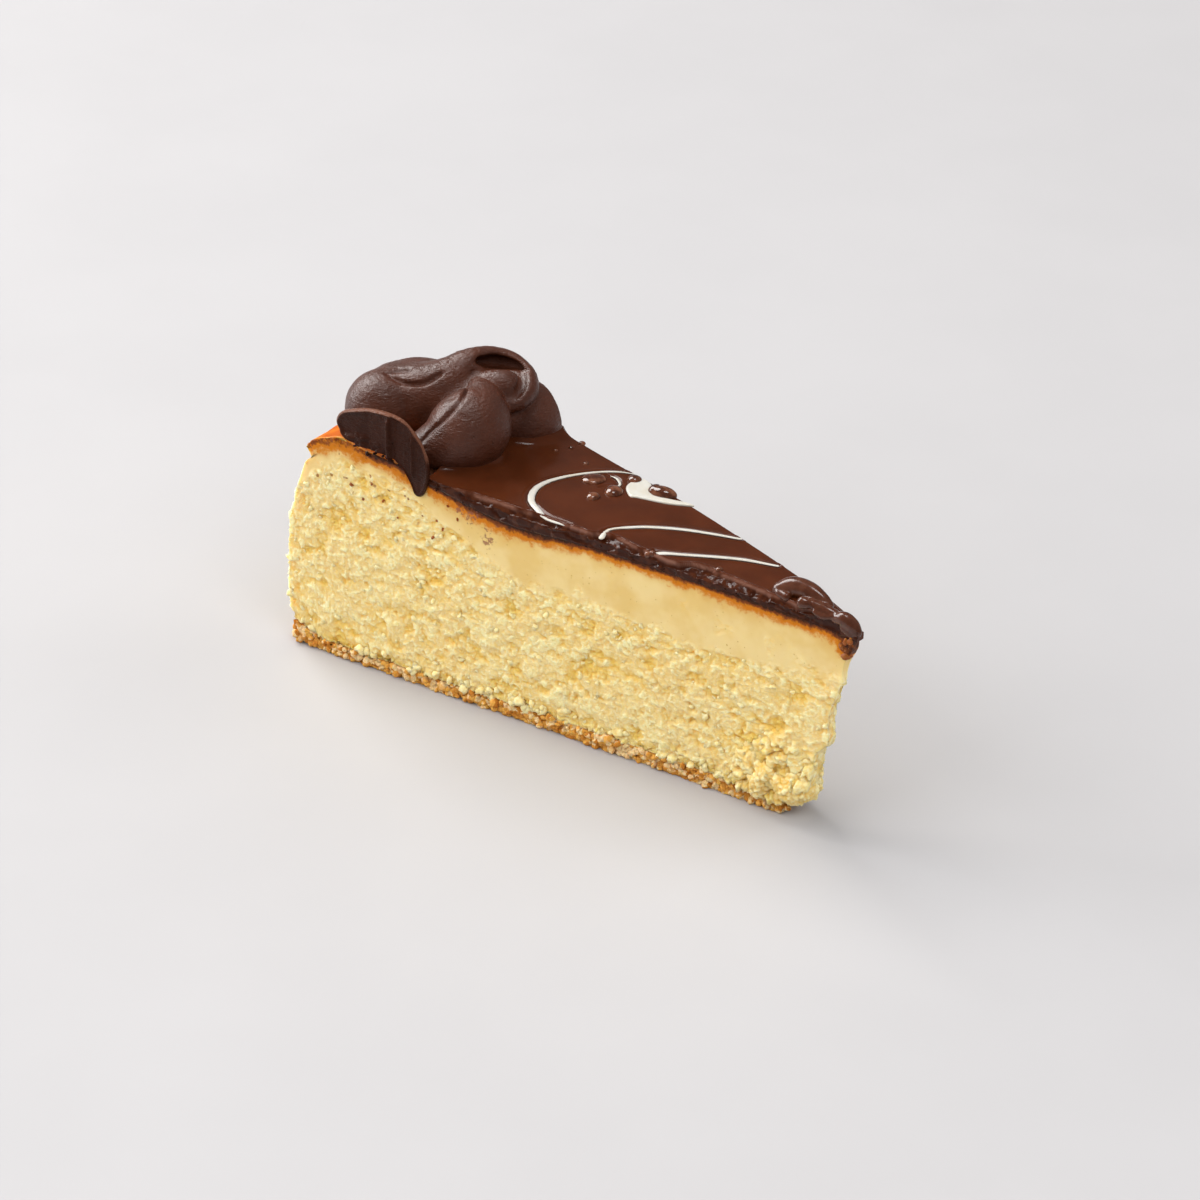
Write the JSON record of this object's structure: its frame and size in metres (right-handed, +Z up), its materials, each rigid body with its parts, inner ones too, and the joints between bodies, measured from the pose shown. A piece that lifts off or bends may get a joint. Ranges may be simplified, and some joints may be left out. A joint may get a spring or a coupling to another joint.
{
  "type": "slice of baked cheesecake",
  "caption": "Wedge slice of baked cheesecake with a thin crumb base, chocolate glaze, pale drizzle and a piped chocolate swirl at its wide end.",
  "frame": {"origin": "on the ground under the middle of the slice", "axes": "+X towards the slice's point, +Z up, the near cut face towards -Y"},
  "size_m": [0.1298, 0.0437, 0.063],
  "materials": {
    "crumb": "baked biscuit crumb, rough and dry",
    "custard": "baked cheese custard, moist and granular, browned on top",
    "glaze": "chocolate glaze, wet gloss, with pale drizzle lines",
    "chocolate": "piped chocolate cream, satin"
  },
  "bodies": {
    "root": {"crumb_base": "crumb", "custard": "custard", "glaze": "glaze", "swirl": "chocolate", "swirl_sliver": "chocolate"}
  },
  "joints": []
}
